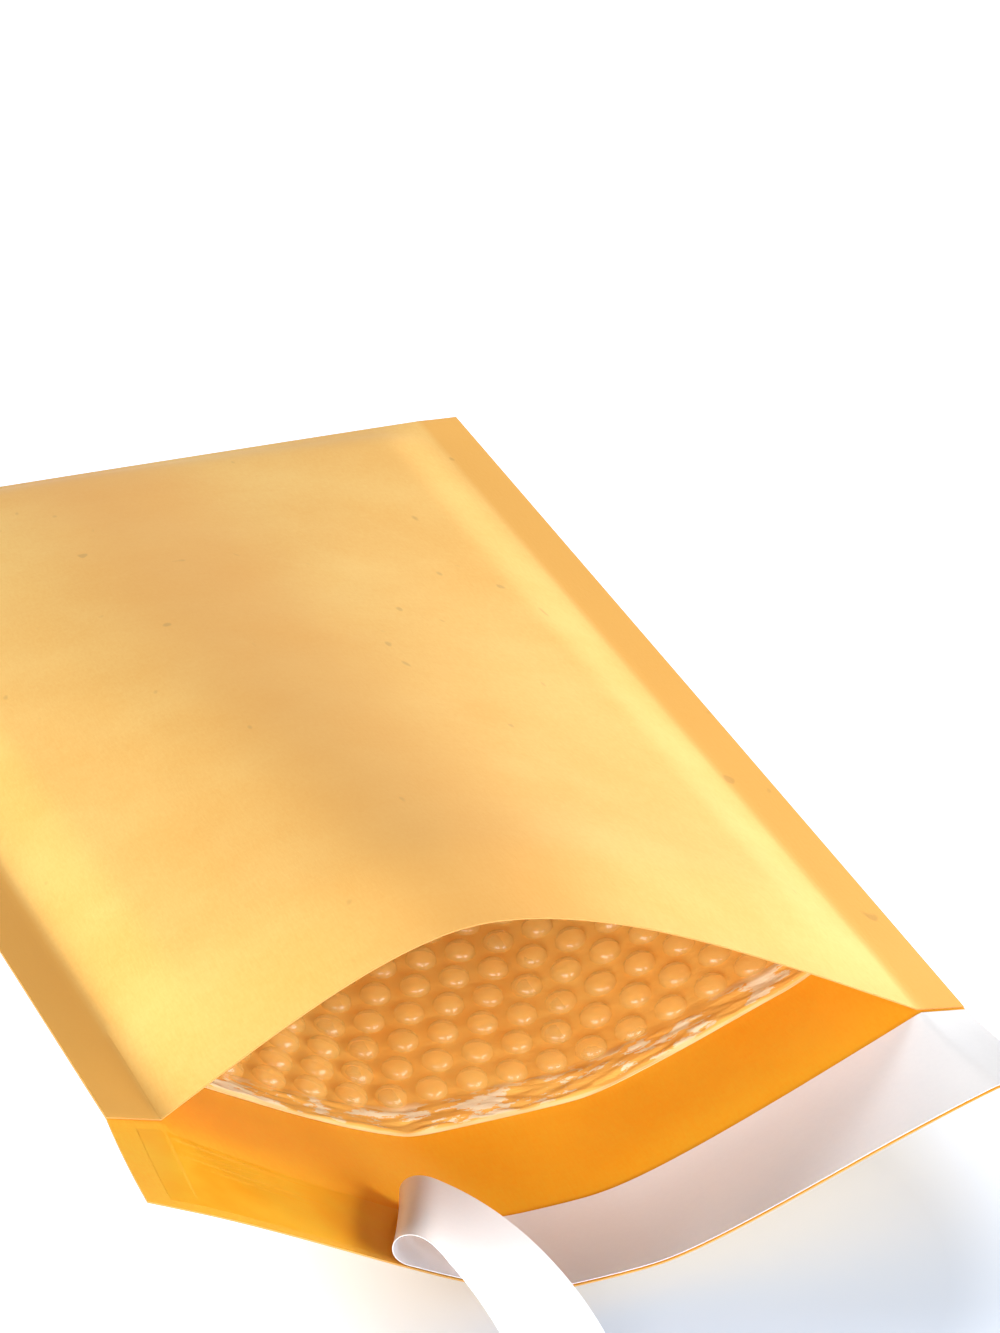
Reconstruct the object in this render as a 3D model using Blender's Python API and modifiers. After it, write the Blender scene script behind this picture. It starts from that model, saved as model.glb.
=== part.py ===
"""Kraft bubble mailer, lying on its back with its mouth held open.

Metres, +Z up. The origin is on the floor, under the middle of the mouth's lower edge.
+Y runs from the mouth to the closed fold, and +X is to the right as seen from the mouth.
The paper envelope is one folded sheet with pressed side seams. A bag of bubble film lines it,
and the flap carries a strip of adhesive under a release liner that is peeled part of the way.
"""

import math

import bmesh
import bpy
from mathutils import Matrix, Vector

# The flat mailer
FLAT_WIDTH = 0.241  # edge to edge, side seams included
POCKET_LENGTH = 0.370  # mouth line to closed fold
FLAP_LENGTH = 0.0380  # mouth line to free edge, along the paper
SEAM_WIDTH = 0.0137  # pressed band along each side
PAPER = 0.0004
CLEARANCE = 0.0003  # between pieces that touch

# How the mouth stands open
MOUTH_CHORD = 0.1971  # between the inner edges of the side seams
LEFT_SEAM_HEIGHT = 0.0588  # outer edge of each seam at the mouth
RIGHT_SEAM_HEIGHT = 0.0336
LEFT_SEAM_TILT = -0.0043  # inner edge of the seam above its outer edge
RIGHT_SEAM_TILT = 0.0025
FRONT_RISE = 0.0383  # crest of the front panel above the seams
FRONT_CREST = -0.127  # place of the crest, as a share of the half chord
FRONT_ROUNDING = 0.42
FRONT_SETBACK = 0.0100  # the front edge is drawn back at its crest
BACK_SAG = 0.0464  # belly of the back panel below the seams, before the floor flattens it
BACK_CREST = -0.059
BACK_ROUNDING = 0.323
FLAP_LIFT = 0.0080  # free edge of the flap above its root, over the belly
FLAP_SIDE_LIFT = 0.0042  # and in line with the inner edges of the seams
FLAP_CORNER_LIFT = 0.0070  # and at the flap's own corners
FLAP_CURVE = 1.5  # power by which the lift grows along the flap
FLAP_SPREAD = 0.0020  # the flap opens out a little towards its free edge

# Bubble lining
FILM = 0.0004
FILM_SETBACK = 0.034  # film edge inside the mouth line
FILM_LIP = 0.009  # pressed flat, without bubbles
FILM_PINCH = 0.0002  # air left between the two sides of the film where the seams press them
FILM_ROOM = 0.0017  # in front of the film's edge, where the seams have opened to take it
BUBBLES_ACROSS = 18
BUBBLE_HEIGHT = 0.0036
BUBBLE_ROOM = 0.42  # most of the free height that one bubble takes where the two sides meet
PADDING_RUN = 0.009  # from a seam or the fold to the full thickness of the padding
PADDING_END = 0.0036  # from the fold to the last row of the padding

# Adhesive and release liner
ADHESIVE_MARGIN = 0.0035  # from the mouth line and the free edge, and twice that from the flap's ends
ADHESIVE = 0.0002
LINER_START = 0.0015  # from the mouth line
LINER_EDGE = 0.0004  # from the free edge
LINER_MARGIN = 0.0008  # from the flap's ends
LINER = 0.0002
PEEL_PLACE = -0.0397  # across the flap, where the liner lifts off
PEEL_SLANT = math.radians(28.5)  # of the lifting line from the flap's own width
PEEL_ROOM = 0.004  # from the lifting line to the nearest full column of the liner
CURL_LENGTH = 0.0235  # of liner in the loop, square to the lifting line
CURL_TURN = math.radians(192.7)  # what the loop turns in all
TAIL_RADIUS = 0.0505  # of the tail's own bend, on downwards after the loop
TAIL_TWIST_LENGTH = 0.0642  # of tail for each radian that it twists
LOOP_TWIST_LENGTH = 0.0538  # the same for what the middle of the loop adds
PEEL_STEP = 0.0005  # of the line that the peeled liner is led along

# Resolution of the lofts
BODY_STATIONS = 2
FLAP_STATIONS = 4
LINER_COLUMNS = 3
PEEL_STEPS = 3
CURL_STEPS = 10
TAIL_STEPS = 6
FLAP_SAMPLES = 24  # of the length along the flap
SHARP_ANGLE = math.radians(35)

HALF_PITCHES = 2 * BUBBLES_ACROSS
BACK_HALF_CHORD = FLAT_WIDTH / 2 - SEAM_WIDTH
BUBBLE_PITCH = 2 * BACK_HALF_CHORD / BUBBLES_ACROSS
CELL = BUBBLE_PITCH / math.sqrt(3)  # corner radius of the hexagon round each bubble
SEAM_GAP = FILM + CLEARANCE + FILM_PINCH / 2  # half the height left for the film at a seam
PADDING = FILM + CLEARANCE + BUBBLE_HEIGHT  # half the thickness of the padded pocket
FOLD_HEIGHT = PADDING + PAPER  # middle of the closed fold above the floor
COLUMNS = [-1 + 2 * i / HALF_PITCHES for i in range(HALF_PITCHES + 1)]
ROOM_START = FILM_SETBACK - FILM_ROOM
BODY_START = FILM_SETBACK + PADDING_RUN + FILM_LIP
BODY_END = POCKET_LENGTH - PADDING_RUN
FLAP_ROWS = [-FLAP_LENGTH * (FLAP_STATIONS - k) / FLAP_STATIONS for k in range(FLAP_STATIONS)]
BODY_ROWS = [BODY_START + (BODY_END - BODY_START) * k / BODY_STATIONS for k in range(BODY_STATIONS + 1)]
POCKET_ROWS = [0.0, ROOM_START, *BODY_ROWS, POCKET_LENGTH - PADDING_END, POCKET_LENGTH]
STATIONS = FLAP_ROWS + POCKET_ROWS
LINER_WIDTH = FLAP_LENGTH - LINER_START - LINER_EDGE


def clear_scene():
    for item in list(bpy.data.objects):
        bpy.data.objects.remove(item, do_unlink=True)


def mix(a, b, share):
    return a + (b - a) * share


def ease(value):
    """Smooth step from 0 to 1 that stays level outside that range."""
    value = min(1.0, max(0.0, value))
    return value * value * (3 - 2 * value)


def tent(u, crest, rounding):
    """Height of a bowed panel across its width: 0 at both seams, 1 near the crest, straight flanks."""
    side = (u - crest) / (1 + crest if u < crest else 1 - crest)
    reach = math.sqrt(1 + rounding * rounding)
    return (reach - math.sqrt(side * side + rounding * rounding)) / (reach - rounding)


def opened(y):
    """0 at the closed fold, 1 at the mouth and on the flap."""
    return min(1.0, 1 - y / POCKET_LENGTH)


def flap_share(y):
    return max(0.0, -y / FLAP_LENGTH)


def half_chord(y):
    return mix(BACK_HALF_CHORD, MOUTH_CHORD / 2, opened(y)) + FLAP_SPREAD * flap_share(y)


def flap_lift(u, y):
    """What the flap has risen above its root, less towards its sides."""
    return mix(FLAP_LIFT, FLAP_SIDE_LIFT, u**4) * flap_share(y) ** FLAP_CURVE


def seam_plane(u, y):
    """Height midway between the two plies of paper."""
    left = LEFT_SEAM_HEIGHT + LEFT_SEAM_TILT
    right = RIGHT_SEAM_HEIGHT + RIGHT_SEAM_TILT
    return mix(FOLD_HEIGHT, mix(left, right, (1 + u) / 2), opened(y))


def seam_edge(side, y):
    """Outer edge of a side seam: its place across and the height between its plies."""
    tilt = LEFT_SEAM_TILT if side < 0 else RIGHT_SEAM_TILT
    height = LEFT_SEAM_HEIGHT if side < 0 else RIGHT_SEAM_HEIGHT
    reach = math.sqrt(SEAM_WIDTH**2 - (tilt * opened(y)) ** 2)
    level = mix(FOLD_HEIGHT, height, opened(y)) + FLAP_CORNER_LIFT * flap_share(y) ** FLAP_CURVE
    return side * (half_chord(y) + reach), level


def half_thickness(u, y):
    """Half the height between the plies that the film and its bubbles fill."""
    from_seam = (1 - abs(u)) * half_chord(y)
    full = ease(from_seam / PADDING_RUN) * ease((POCKET_LENGTH - y) / PADDING_RUN)
    full *= ease(y / BODY_START)
    pinched = mix(FILM_PINCH / 2, SEAM_GAP, ease(y / ROOM_START))
    return mix(pinched, PADDING, full)


def front_inside(u, y):
    bow = FRONT_RISE * opened(y) * tent(u, FRONT_CREST, FRONT_ROUNDING)
    return seam_plane(u, y) + half_thickness(u, y) + bow


def back_outside(u, y):
    """Underside of the back panel and the flap. The floor flattens what would reach below it."""
    sag = BACK_SAG * opened(y) * tent(u, BACK_CREST, BACK_ROUNDING)
    return max(0.0, seam_plane(u, y) - half_thickness(u, y) - sag - PAPER) + flap_lift(u, y)


class Panel:
    """Heights of one panel over the grid of columns and stations, and straight lines between them."""

    def __init__(self, height):
        self.rows = [[height(u, y) for u in COLUMNS] for y in STATIONS]

    def at(self, u, y):
        across = (min(1.0, max(-1.0, u)) + 1) / 2 * HALF_PITCHES
        column = min(HALF_PITCHES - 1, int(across))
        station = max(k for k in range(len(STATIONS) - 1) if k == 0 or STATIONS[k] <= y)
        along = (y - STATIONS[station]) / (STATIONS[station + 1] - STATIONS[station])
        near, far = self.rows[station], self.rows[station + 1]
        low = mix(near[column], near[column + 1], across - column)
        high = mix(far[column], far[column + 1], across - column)
        return mix(low, high, along)


FRONT = Panel(front_inside)
BACK = Panel(back_outside)


def front_edge(u):
    return FRONT_SETBACK * tent(u, FRONT_CREST, FRONT_ROUNDING)


def point(mesh, u, y, height, inset=0.0):
    """A vertex on a column, drawn in from the seams by the inset at the two outermost columns."""
    chord = half_chord(y)
    u = max(-1 + inset / chord, min(1 - inset / chord, u))
    return mesh.verts.new((u * chord, y, height(u, y)))


def loft(mesh, first, second):
    """Quads between two rows of as many vertices."""
    for a, b, c, d in zip(first, first[1:], second[1:], second):
        mesh.faces.new((a, b, c, d))


def zip_rows(mesh, first, second):
    """Triangles between two rows along Y that begin and end at the same stations."""
    i = j = 0
    while i < len(first) - 1 or j < len(second) - 1:
        step_first = j == len(second) - 1
        if i < len(first) - 1 and not step_first:
            step_first = first[i + 1].co.y <= second[j + 1].co.y
        if step_first:
            mesh.faces.new((first[i], first[i + 1], second[j]))
            i += 1
        else:
            mesh.faces.new((first[i], second[j + 1], second[j]))
            j += 1


def to_object(mesh, name, material, collection):
    bmesh.ops.recalc_face_normals(mesh, faces=mesh.faces)
    data = bpy.data.meshes.new(name)
    mesh.to_mesh(data)
    mesh.free()
    data.materials.append(material)
    data.shade_smooth()
    data.set_sharp_from_angle(angle=SHARP_ANGLE)
    item = bpy.data.objects.new(name, data)
    collection.objects.link(item)
    return item


def flap_y(u, y):
    """The paper keeps its length, so the flap is drawn back as it lifts."""
    return y if y >= 0 else y * math.sqrt(1 - (flap_lift(u, -FLAP_LENGTH) / FLAP_LENGTH) ** 2)


def seam_vertex(mesh, side, y, lift):
    x, level = seam_edge(side, y)
    return mesh.verts.new((x, flap_y(side, y), level + lift))


def kraft_envelope(collection, material):
    """One sheet: front panel, closed fold, back panel and flap, pressed together along both seams."""
    mesh = bmesh.new()
    inner_fold = POCKET_LENGTH - PAPER

    front_top, front_under, back_top, back_under = [], [], [], []
    for index, y in enumerate(POCKET_ROWS):
        inside_y = min(y, inner_fold)
        row_y = [max(y, front_edge(u)) if index == 0 else y for u in COLUMNS]
        panel = [point(mesh, u, v, lambda a, b: FRONT.at(a, b) + PAPER) for u, v in zip(COLUMNS, row_y)]
        left = seam_vertex(mesh, -1, y, PAPER)
        right = seam_vertex(mesh, 1, y, PAPER)
        front_top.append([left, *panel, right])
        front_under.append([point(mesh, u, min(v, inner_fold), FRONT.at) for u, v in zip(COLUMNS, row_y)])
        back_top.append([point(mesh, u, inside_y, lambda a, b: BACK.at(a, b) + PAPER) for u in COLUMNS])
        panel = [point(mesh, u, y, BACK.at) for u in COLUMNS]
        back_under.append([seam_vertex(mesh, -1, y, -PAPER), *panel, seam_vertex(mesh, 1, y, -PAPER)])

    flap_top, flap_under = [], []
    for y in FLAP_ROWS:
        for rows, top in ((flap_top, PAPER), (flap_under, 0.0)):
            panel = []
            for u in COLUMNS:
                v = flap_y(u, y)
                panel.append(mesh.verts.new((u * half_chord(y), v, BACK.at(u, y) + top)))
            left = seam_vertex(mesh, -1, y, top - PAPER)
            right = seam_vertex(mesh, 1, y, top - PAPER)
            rows.append([left, *panel, right])
    step = [seam_vertex(mesh, -1, 0.0, 0.0), seam_vertex(mesh, 1, 0.0, 0.0)]
    flap_top.append([step[0], *back_top[0], step[1]])
    flap_under.append(back_under[0])

    for rows in (front_top, front_under, back_top, back_under, flap_top, flap_under):
        for near, far in zip(rows, rows[1:]):
            loft(mesh, near, far)
    loft(mesh, front_top[0][1:-1], front_under[0])
    loft(mesh, front_top[-1], back_under[-1])
    loft(mesh, front_under[-1], back_top[-1])
    loft(mesh, flap_top[0], flap_under[0])

    for end, corner in ((0, step[0]), (-1, step[1])):
        beside = 1 if end == 0 else -2
        for k in range(len(POCKET_ROWS) - 1):
            loft(mesh, [front_under[k][end], front_under[k + 1][end]], [back_top[k][end], back_top[k + 1][end]])
            side = [front_top[k][end], front_top[k + 1][end], back_under[k + 1][end], back_under[k][end]]
            mesh.faces.new(side + ([corner] if k == 0 else []))
        for near in range(FLAP_STATIONS):
            rows = (flap_top[near], flap_top[near + 1], flap_under[near + 1], flap_under[near])
            mesh.faces.new([row[end] for row in rows])
        ply_end = [front_top[0][end], front_top[0][beside], front_under[0][end], back_top[0][end], corner]
        mesh.faces.new(ply_end)
    return to_object(mesh, "kraft_envelope", material, collection)


def film_front_outside(u, y):
    return FRONT.at(u, y) - CLEARANCE


def film_front_inside(u, y):
    return film_front_outside(u, y) - FILM


def film_back_outside(u, y):
    return BACK.at(u, y) + PAPER + CLEARANCE


def film_back_inside(u, y):
    return film_back_outside(u, y) + FILM


def bubble_rise(u, y):
    """Height of a bubble, pressed down where the two sides of the pocket come together."""
    free = film_front_inside(u, y) - film_back_inside(u, y)
    return min(BUBBLE_HEIGHT, BUBBLE_ROOM * free)


def bubble_columns(mesh, height, facing, start, end, inset):
    """The film's inner side: hexagonal cells whose centres stand up as bubbles."""
    first = FILM_SETBACK + FILM_LIP + CELL
    columns = []
    for index, u in enumerate(COLUMNS):
        odd = index % 2
        at_seam = index in (0, HALF_PITCHES)
        column = [point(mesh, u, start, height, inset)]
        step = 0
        while first + (step + odd / 2 + 0.5) * CELL < end:
            y = first + (step + odd / 2) * CELL
            step += 1
            centre = step % 3 == 1 + odd
            if at_seam and not centre:
                continue
            vertex = point(mesh, u, y, height, inset)
            last_row = y + CELL > end - CELL / 2
            if centre and not at_seam and not last_row:
                vertex.co.z += facing * bubble_rise(u, y)
            column.append(vertex)
        column.append(point(mesh, u, end, height, inset))
        columns.append(column)
    for left, right in zip(columns, columns[1:]):
        zip_rows(mesh, left, right)
    return columns


def bubble_lining(collection, material):
    """One bag of film, folded at the closed end and sealed at the sides, with its bubbles inward."""
    mesh = bmesh.new()
    outer_end = POCKET_LENGTH - PAPER - CLEARANCE
    inner_end = outer_end - FILM
    rows = [FILM_SETBACK, *[y for y in POCKET_ROWS if FILM_SETBACK < y < outer_end], outer_end]
    outside = []
    for height in (film_front_outside, film_back_outside):
        side = [[point(mesh, u, y, height, CLEARANCE) for u in COLUMNS] for y in rows]
        for near, far in zip(side, side[1:]):
            loft(mesh, near, far)
        outside.append(side)
    inset = CLEARANCE + FILM
    inside = [
        bubble_columns(mesh, film_front_inside, -1, FILM_SETBACK, inner_end, inset),
        bubble_columns(mesh, film_back_inside, 1, FILM_SETBACK, inner_end, inset),
    ]
    for side, columns in zip(outside, inside):
        loft(mesh, side[0], [column[0] for column in columns])
    loft(mesh, outside[0][-1], outside[1][-1])
    loft(mesh, [column[-1] for column in inside[0]], [column[-1] for column in inside[1]])
    for end in (0, -1):
        loft(mesh, [row[end] for row in outside[0]], [row[end] for row in outside[1]])
        loft(mesh, inside[0][end], inside[1][end])
        ring = (outside[0][0][end], inside[0][end][0], inside[1][end][0], outside[1][0][end])
        mesh.faces.new(ring)
    return to_object(mesh, "bubble_lining", material, collection)


def flap_width_at(y):
    """Half the width of the flap, seams included."""
    return half_chord(y) + SEAM_WIDTH


def flap_point(x, y, lift):
    """A point above the flap's upper side, also over the seams at its ends."""
    u = x / half_chord(y)
    if abs(u) <= 1:
        return Vector((x, flap_y(u, y), BACK.at(u, y) + PAPER + lift))
    side = 1 if u > 0 else -1
    edge, level = seam_edge(side, y)
    inner = BACK.at(side, y) + PAPER
    share = (abs(x) - half_chord(y)) / (abs(edge) - half_chord(y))
    return Vector((x, flap_y(side, y), mix(inner, level, share) + lift))


def sheet_object(rows, name, thickness, material, collection):
    """An open sheet given its thickness both ways."""
    mesh = bmesh.new()
    rows = [[mesh.verts.new(place) for place in row] for row in rows]
    for near, far in zip(rows, rows[1:]):
        loft(mesh, near, far)
    item = to_object(mesh, name, material, collection)
    wall = item.modifiers.new("thickness", "SOLIDIFY")
    wall.thickness = thickness
    wall.offset = 0.0
    return item


def adhesive_strip(collection, material):
    lift = CLEARANCE + ADHESIVE / 2
    rows = []
    far = ADHESIVE_MARGIN - FLAP_LENGTH
    for y in (-ADHESIVE_MARGIN, *[v for v in FLAP_ROWS[::-1] if far < v < -ADHESIVE_MARGIN], far):
        reach = flap_width_at(y) - 2 * ADHESIVE_MARGIN
        places = [-reach, *[u * half_chord(y) for u in COLUMNS], reach]
        rows.append([flap_point(x, y, lift) for x in places])
    return sheet_object(rows, "adhesive_strip", ADHESIVE, material, collection)


def peel_x(y):
    """The slanting line across the liner where it lifts off the flap."""
    return PEEL_PLACE + (y + LINER_START + LINER_WIDTH / 2) * math.tan(PEEL_SLANT)


def flap_run(y):
    """Length along the flap from the lifting line to its left end."""
    near = flap_width_at(y) - LINER_MARGIN
    shares = [k / FLAP_SAMPLES for k in range(FLAP_SAMPLES + 1)]
    places = [flap_point(mix(peel_x(y), -near, share), y, 0.0) for share in shares]
    return sum((b - a).length for a, b in zip(places, places[1:]))


def peeled_line(outward, upward, axis, slant):
    """The loop and tail as a line of places, each with the direction of the fold line across it there.

    The loop's curvature swells and fades along its length, and the tail bends and twists evenly."""
    straight = math.sqrt(1 - slant * slant)
    longest = flap_run(-LINER_START) * straight + LINER_WIDTH
    place = Vector((0.0, 0.0, 0.0))
    line = [(place.copy(), axis.copy())]
    for step in range(math.ceil(longest / PEEL_STEP)):
        gone = step * PEEL_STEP
        bend, twist = 1 / TAIL_RADIUS, 1 / TAIL_TWIST_LENGTH
        if gone < CURL_LENGTH:
            swell = math.sin(math.pi * gone / CURL_LENGTH)
            bend = CURL_TURN * math.pi / 2 / CURL_LENGTH * swell
            twist = twist * gone / CURL_LENGTH + swell / LOOP_TWIST_LENGTH
        turn = Matrix.Rotation(bend * PEEL_STEP, 3, outward.cross(upward))
        outward, upward = turn @ outward, turn @ upward
        strip = axis * slant + outward * straight
        turn = Matrix.Rotation(twist * PEEL_STEP, 3, strip)
        outward, upward, axis = turn @ outward, turn @ upward, turn @ axis
        place = place + (outward + axis * (slant / straight)) * PEEL_STEP
        line.append((place.copy(), axis.copy()))
    return line


def on_line(line, gone):
    """Place and fold direction between two steps of the line."""
    step = min(len(line) - 2, int(gone / PEEL_STEP))
    share = gone / PEEL_STEP - step
    return [a.lerp(b, share) for a, b in zip(line[step], line[step + 1])]


def release_liner(collection, material):
    """The liner is stuck down on the right, lifts off along a slanting line and curls back over itself."""
    lift = 2 * CLEARANCE + ADHESIVE + LINER / 2
    near_y, far_y = -LINER_START, -LINER_START - LINER_WIDTH
    middle_y = (near_y + far_y) / 2
    middle = flap_point(peel_x(middle_y), middle_y, lift)
    axis = (flap_point(peel_x(far_y), far_y, lift) - flap_point(peel_x(near_y), near_y, lift)).normalized()
    along = (flap_point(middle.x - PEEL_ROOM, middle_y, lift) - middle).normalized()
    outward = (along - axis * along.dot(axis)).normalized()
    upward = outward.cross(axis)
    if upward.z < 0:
        upward = -upward
    slant = along.dot(axis)
    straight = math.sqrt(1 - slant * slant)
    line = peeled_line(outward, upward, axis, slant)

    stuck_columns = [u for u in COLUMNS[::-1] if u * half_chord(near_y) > peel_x(near_y) + PEEL_ROOM]
    columns = []
    for index in range(LINER_COLUMNS + 1):
        y = mix(near_y, far_y, index / LINER_COLUMNS)
        places = [flap_width_at(y) - LINER_MARGIN, *[u * half_chord(y) for u in stuck_columns]]
        places += [mix(places[-1], peel_x(y), k / PEEL_STEPS) for k in range(1, PEEL_STEPS + 1)]
        column = [flap_point(x, y, lift) for x in places]
        offset = column[-1] - middle
        base = offset.dot(axis)
        error = offset - axis * base
        curl = CURL_LENGTH / straight
        tail = flap_run(y) - curl
        runs = [curl * (k + 1) / CURL_STEPS for k in range(CURL_STEPS)]
        runs += [curl + tail * (k + 1) / TAIL_STEPS for k in range(TAIL_STEPS)]
        for run in runs:
            place, across = on_line(line, run * straight)
            column.append(middle + place + across * base + error * max(0.0, 1 - run / curl))
        columns.append(column)
    rows = [list(row) for row in zip(*columns)]
    return sheet_object(rows, "release_liner", LINER, material, collection)


def finish(name, colour, roughness, coat=0.0):
    material = bpy.data.materials.new(name)
    material.use_nodes = True
    shader = material.node_tree.nodes["Principled BSDF"]
    shader.inputs["Base Color"].default_value = (*colour, 1.0)
    shader.inputs["Roughness"].default_value = roughness
    shader.inputs["Metallic"].default_value = 0.0
    shader.inputs["Coat Weight"].default_value = coat
    material.diffuse_color = (*colour, 1.0)
    return material


def main():
    clear_scene()
    parts = bpy.data.collections.new("bubble_mailer")
    bpy.context.scene.collection.children.link(parts)
    kraft_envelope(parts, finish("kraft paper", (0.90, 0.53, 0.16), 0.7))
    bubble_lining(parts, finish("bubble film", (0.83, 0.36, 0.09), 0.15, coat=0.5))
    adhesive_strip(parts, finish("adhesive", (0.91, 0.50, 0.10), 0.35))
    release_liner(parts, finish("liner paper", (0.86, 0.82, 0.79), 0.4))


main()
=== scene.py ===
import math

import bpy
import numpy as np
from mathutils import Matrix, Vector, noise


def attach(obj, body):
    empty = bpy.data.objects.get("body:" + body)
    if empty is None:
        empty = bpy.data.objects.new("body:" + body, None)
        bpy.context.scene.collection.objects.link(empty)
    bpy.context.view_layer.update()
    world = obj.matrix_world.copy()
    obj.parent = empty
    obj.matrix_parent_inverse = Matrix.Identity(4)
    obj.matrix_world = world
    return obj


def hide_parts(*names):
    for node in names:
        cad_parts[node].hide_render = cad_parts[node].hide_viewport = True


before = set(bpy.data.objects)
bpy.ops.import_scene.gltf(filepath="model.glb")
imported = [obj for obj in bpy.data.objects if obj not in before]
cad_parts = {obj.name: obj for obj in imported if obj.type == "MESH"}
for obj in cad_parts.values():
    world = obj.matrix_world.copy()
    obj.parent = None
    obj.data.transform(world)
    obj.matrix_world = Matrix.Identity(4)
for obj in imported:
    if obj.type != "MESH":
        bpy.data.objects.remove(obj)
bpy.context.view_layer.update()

# The mailer's own sizes, in metres, as the frame has them
mailer = dict(
    flatWidth=0.241,
    pocketLength=0.370,
    flapLength=0.0380,
    seamWidth=0.0137,
    paper=0.0004,
    clearance=0.0003,
    padding=0.0043,      # half the thickness of the padded pocket
    paddingRun=0.020,    # from a seam or the fold to the full padding
    seamGap=0.0008,      # half the height left for the film at a seam
    pinch=0.0001,
)
mouth = dict(
    chord=0.1971,
    leftHeight=0.0588,
    rightHeight=0.0336,
    leftTilt=-0.0043,
    rightTilt=0.0025,
    frontRise=0.0383,
    frontCrest=-0.127,
    frontRounding=0.42,
    frontSetback=0.0100,
    frontFade=0.8,       # the bow dies out a little late, near the fold
    backSag=0.0464,
    backCrest=-0.059,
    backRounding=0.323,
    flapLift=0.0080,
    flapSideLift=0.0042,
    flapCornerLift=0.0070,
    flapCurve=1.5,
    flapSpread=0.0020,
    floorRounding=0.0014,
)
lining = dict(
    film=0.0003,
    setback=0.034,
    room=0.0017,         # in front of the film's edge, where the seams have opened to take it
    lip=0.009,
    paddedFrom=0.009,    # past the lip, where the padding is full
    bubblesAcross=18,
)
backHalfChord = mailer["flatWidth"] / 2 - mailer["seamWidth"]
bubblePitch = 2 * backHalfChord / lining["bubblesAcross"]
foldHeight = mailer["padding"] + mailer["paper"]
roomStart = lining["setback"] - lining["room"]
bodyStart = lining["setback"] + lining["paddedFrom"] + lining["lip"]


def mix(a, b, share):
    return a + (b - a) * share


def ease(value):
    value = min(1.0, max(0.0, value))
    return value * value * (3 - 2 * value)


def tent(u, crest, rounding):  # height of a bowed panel across its width, 1 near the crest
    side = (u - crest) / (1 + crest if u < crest else 1 - crest)
    reach = math.sqrt(1 + rounding * rounding)
    return (reach - math.sqrt(side * side + rounding * rounding)) / (reach - rounding)


def opened(y):  # 0 at the closed fold, 1 at the mouth and on the flap
    return min(1.0, 1 - y / mailer["pocketLength"])


def flapShare(y):
    return max(0.0, -y / mailer["flapLength"])


def halfChord(y):
    return mix(backHalfChord, mouth["chord"] / 2, opened(y)) + mouth["flapSpread"] * flapShare(y)


def flapLift(u, y):
    return mix(mouth["flapLift"], mouth["flapSideLift"], u ** 4) * flapShare(y) ** mouth["flapCurve"]


def seamPlane(u, y):
    left = mouth["leftHeight"] + mouth["leftTilt"]
    right = mouth["rightHeight"] + mouth["rightTilt"]
    return mix(foldHeight, mix(left, right, (1 + u) / 2), opened(y))


def seamEdge(side, y):  # outer edge of a side seam: its place across and the height between its plies
    tilt = mouth["leftTilt"] if side < 0 else mouth["rightTilt"]
    height = mouth["leftHeight"] if side < 0 else mouth["rightHeight"]
    reach = math.sqrt(mailer["seamWidth"] ** 2 - (tilt * opened(y)) ** 2)
    level = mix(foldHeight, height, opened(y))
    level += mouth["flapCornerLift"] * flapShare(y) ** mouth["flapCurve"]
    return side * (halfChord(y) + reach), level


def halfThickness(u, y):
    fromSeam = (1 - abs(u)) * halfChord(y)
    full = ease(fromSeam / mailer["paddingRun"])
    full *= ease((mailer["pocketLength"] - y) / mailer["paddingRun"]) * ease(y / bodyStart)
    pinched = mix(mailer["pinch"], mailer["seamGap"], ease(y / roomStart))
    return mix(pinched, mailer["padding"], full)


relief = dict(
    slow=0.00045,
    quick=0.00012,
    slowAcross=26,
    slowAlong=11,
    quickAcross=90,
    quickAlong=48,
    frontPlane=1.5,      # where each panel cuts the noise
    backPlane=8.5,
    quickPlane=5,
    seamFade=6,          # how fast it dies out, towards the seams, the fold, the flap and the floor
    foldFade=0.05,
    flapStart=0.02,
    flapFade=0.06,
    floorStart=0.001,
    floorFade=0.004,
)


def slack(u, y, panel):  # the paper is never quite flat between its seams
    room = ease((1 - abs(u)) * relief["seamFade"])
    room *= ease((mailer["pocketLength"] - y) / relief["foldFade"])
    room *= ease((y + relief["flapStart"]) / relief["flapFade"])
    x = u * halfChord(y)
    slow = noise.noise(Vector((x * relief["slowAcross"], y * relief["slowAlong"], panel)))
    quickAt = x * relief["quickAcross"], y * relief["quickAlong"], panel + relief["quickPlane"]
    quick = noise.noise(Vector(quickAt))
    return room * (relief["slow"] * slow + relief["quick"] * quick)


def frontInside(u, y):
    bow = mouth["frontRise"] * opened(y) ** mouth["frontFade"]
    bow *= tent(u, mouth["frontCrest"], mouth["frontRounding"])
    return seamPlane(u, y) + halfThickness(u, y) + bow + slack(u, y, relief["frontPlane"])


def backOutside(u, y):
    sag = mouth["backSag"] * opened(y) * tent(u, mouth["backCrest"], mouth["backRounding"])
    low = seamPlane(u, y) - halfThickness(u, y) - sag - mailer["paper"]
    low += slack(u, y, relief["backPlane"]) * ease((low - relief["floorStart"]) / relief["floorFade"])
    rounded = mouth["floorRounding"]    # the belly turns softly onto the floor
    return (low + math.sqrt(low * low + rounded * rounded)) / 2 + flapLift(u, y)


def frontEdge(u):
    return mouth["frontSetback"] * tent(u, mouth["frontCrest"], mouth["frontRounding"])


def flapY(u, y):  # the paper keeps its length, so the flap is drawn back as it lifts
    if y >= 0:
        return y
    return y * math.sqrt(1 - (flapLift(u, -mailer["flapLength"]) / mailer["flapLength"]) ** 2)


# Modelling helpers

def deselectAll():
    for item in bpy.context.selected_objects:
        item.select_set(False)


def only(piece):
    deselectAll()
    piece.select_set(True)
    bpy.context.view_layer.objects.active = piece


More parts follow.
